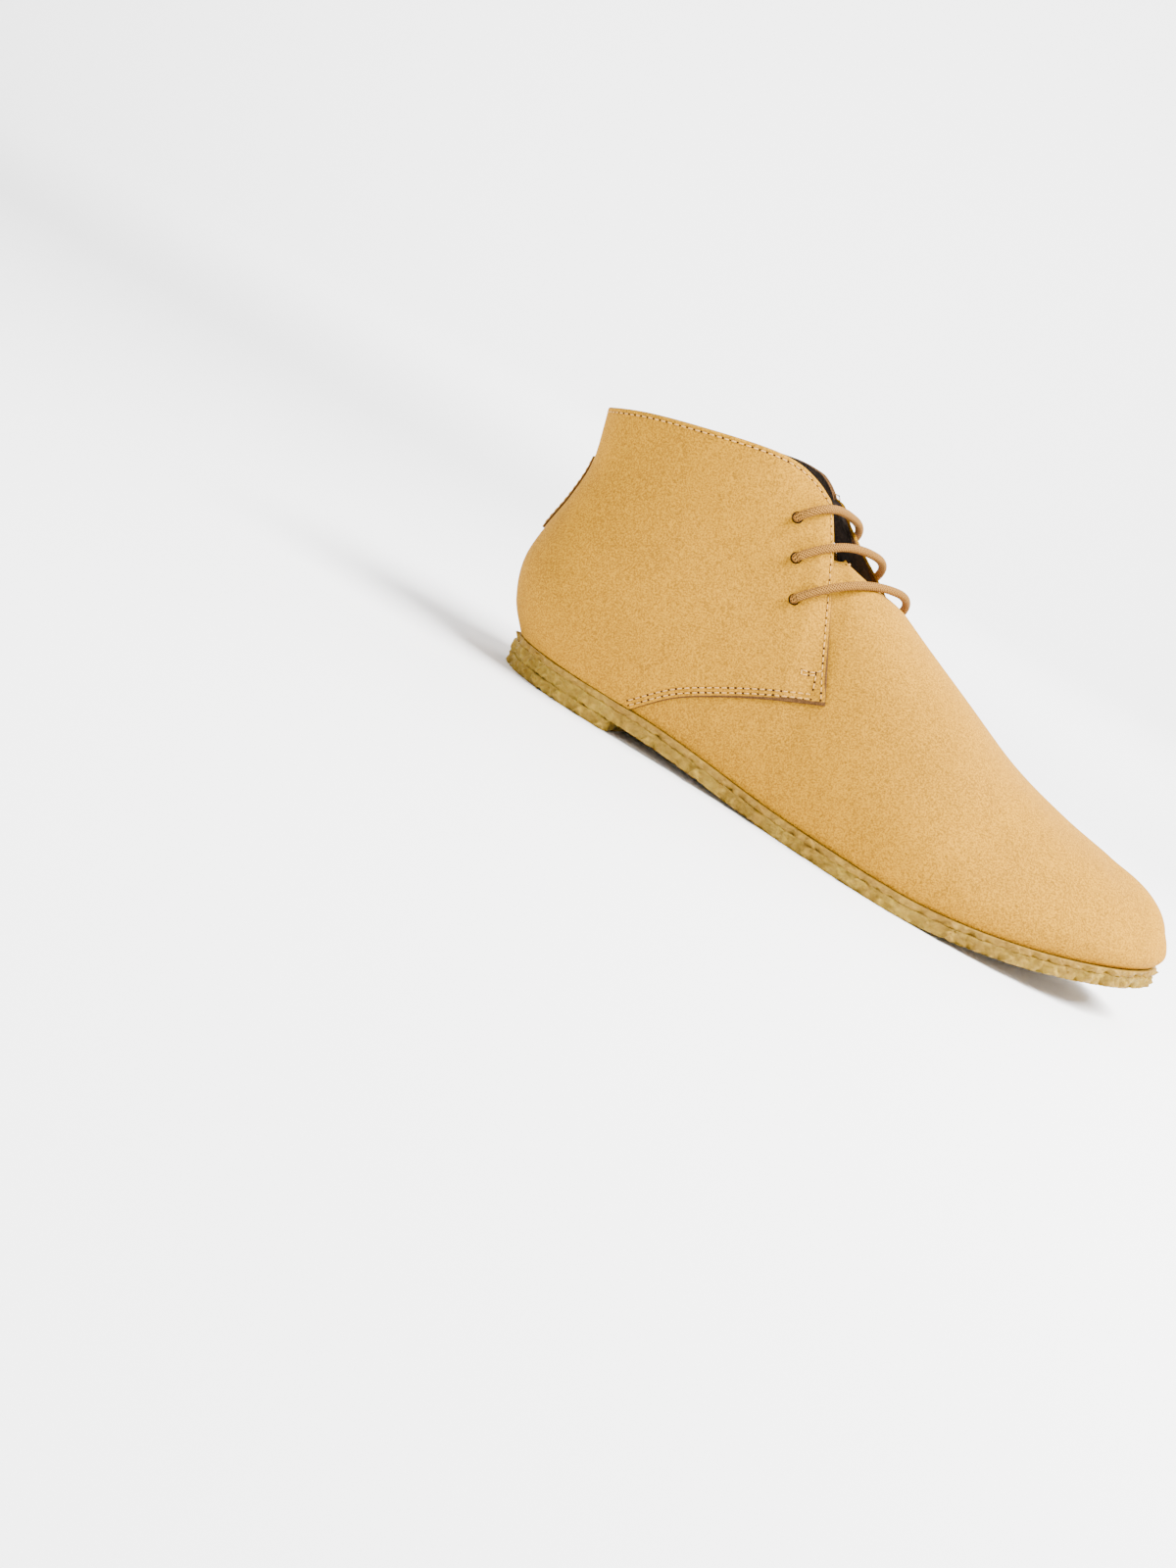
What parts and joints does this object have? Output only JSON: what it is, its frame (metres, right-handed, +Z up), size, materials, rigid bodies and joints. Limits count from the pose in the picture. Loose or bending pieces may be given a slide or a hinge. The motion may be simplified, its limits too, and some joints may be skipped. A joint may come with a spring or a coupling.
{
  "type": "desert boot",
  "caption": "Ankle-high desert boot for the right foot: plain-toe tan nubuck vamp with tongue, stitched quarters laced over the instep, natural crepe sole with a low heel.",
  "frame": {"origin": "middle of the boot's bounding box in plan, on the floor that the sole stands on", "axes": "+X runs from heel to toe, +Z up from the floor, +Y to the wearer's left, which is the inner (medial) side of this right boot"},
  "size_m": [0.3124, 0.1064, 0.1327],
  "materials": {
    "crepe": "natural crepe rubber, matt, crinkled and mottled",
    "crepe_band": "darker smoother crepe layer",
    "insole_leather": "plain smooth leather",
    "nubuck": "sand nubuck, matt with a fine nap",
    "lining_leather": "thin brown lining leather, matt",
    "seam_thread": "cream polyester thread in open holes",
    "lace_cord": "round woven cord"
  },
  "bodies": {
    "root": {"heel": "crepe", "outsole": "crepe", "midsole": "crepe_band", "insole": "insole_leather", "upper": "nubuck", "tongue": "nubuck", "quarter_lateral": "nubuck", "quarter_medial": "nubuck", "back_strip": "nubuck", "lace": "lace_cord"}
  },
  "joints": []
}
